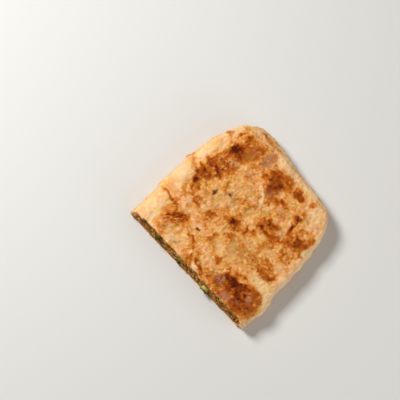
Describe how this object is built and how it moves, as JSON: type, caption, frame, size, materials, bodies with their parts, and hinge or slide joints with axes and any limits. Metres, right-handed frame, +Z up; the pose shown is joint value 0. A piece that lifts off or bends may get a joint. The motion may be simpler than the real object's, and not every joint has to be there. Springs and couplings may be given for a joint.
{
  "type": "layered meat pie",
  "caption": "Half of a pan-fried layered meat pie, knife-cut across the front, with thin dough folded round layers of minced meat.",
  "frame": {"origin": "Middle of the pie's bounding box, on the surface that its flat underside rests on.", "axes": "+X runs along the knife cut to its bulging end, +Y from the cut to the folded far edge, +Z up out of the browned top crust."},
  "size_m": [0.119, 0.1152, 0.0202],
  "materials": {
    "fried_dough": "Pan-fried wheat dough: pale cream at the folded edges, golden in the middle, patchy brown on the blisters, with a thin sheen of oil.",
    "minced_meat": "Cooked minced meat: grey-brown to olive-brown crumbs, moist, with chopped scallion in it.",
    "scallion": "Cooked green scallion leaf, dark green outside and paler inside, slightly glossy."
  },
  "bodies": {
    "root": {"dough": "fried_dough", "meat_1": "minced_meat", "meat_2": "minced_meat", "meat_3": "minced_meat", "scallion_1": "scallion", "scallion_2": "scallion", "scallion_3": "scallion"}
  },
  "joints": []
}
